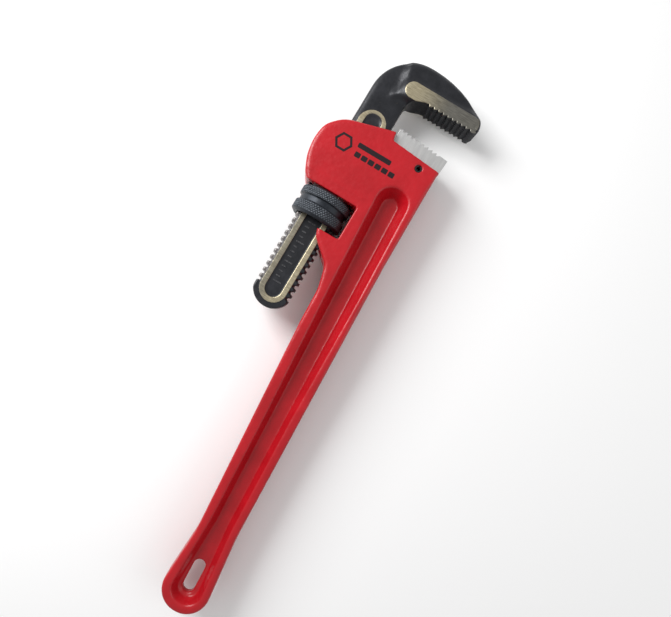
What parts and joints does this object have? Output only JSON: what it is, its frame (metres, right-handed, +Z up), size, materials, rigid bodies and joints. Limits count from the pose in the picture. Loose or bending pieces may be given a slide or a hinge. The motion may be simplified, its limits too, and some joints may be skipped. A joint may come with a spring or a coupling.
{
  "type": "pipe wrench",
  "caption": "Straight pipe wrench with a long recessed handle, a sliding toothed hook jaw, a pinned heel jaw and a knurled adjusting nut.",
  "frame": {"origin": "centre of the box's underside, at the level of the lowest point of the adjusting nut, as the wrench lies flat", "axes": "+X along the shank and nut axis towards the hook, +Y away from the handle side, +Z up through the flat of the wrench"},
  "size_m": [0.4226, 0.1032, 0.039],
  "materials": {
    "painted_casting": "gloss enamel over a cast surface",
    "ground_steel": "ground across the teeth",
    "pin_steel": "dark, slotted",
    "forged_steel": "black oxide with bright ground bands",
    "nut_steel": "dark, knurled",
    "spring_wire": "oiled wire",
    "spring_leaf": "oiled strip",
    "rivet_steel": "plain"
  },
  "bodies": {
    "casting": {"handle": "painted_casting", "heel_jaw": "ground_steel", "heel_jaw_pin": "pin_steel", "coil_spring": "spring_wire"},
    "leaf": {"flat_spring": "spring_leaf", "spring_rivet": "rivet_steel"},
    "nut": {"adjusting_nut": "nut_steel"},
    "hook": {"hook_jaw": "forged_steel"}
  },
  "joints": [
    {"name": "jaw_rock", "type": "hinge", "parent": "casting", "child": "leaf", "pos_m": [0.09672, 0.02253, 0.0195], "axis": [0, 0, 1], "range_deg": [-2.5, 1.5], "stiffness_Nm_per_rad": 40, "deforming": ["coil_spring"]},
    {"name": "nut_spin", "type": "hinge", "parent": "leaf", "child": "nut", "pos_m": [0.08472, 0.02253, 0.0195], "axis": [1, 0, 0], "range_deg": [-3543.3, 1452.8]},
    {"name": "jaw_slide", "type": "slide", "parent": "leaf", "child": "hook", "axis": [1, 0, 0], "range_m": [-0.0205, 0.05]}
  ],
  "couplings": [
    {"joint": "jaw_slide", "follows": "nut_spin", "m_per_rad": -0.00080851}
  ]
}
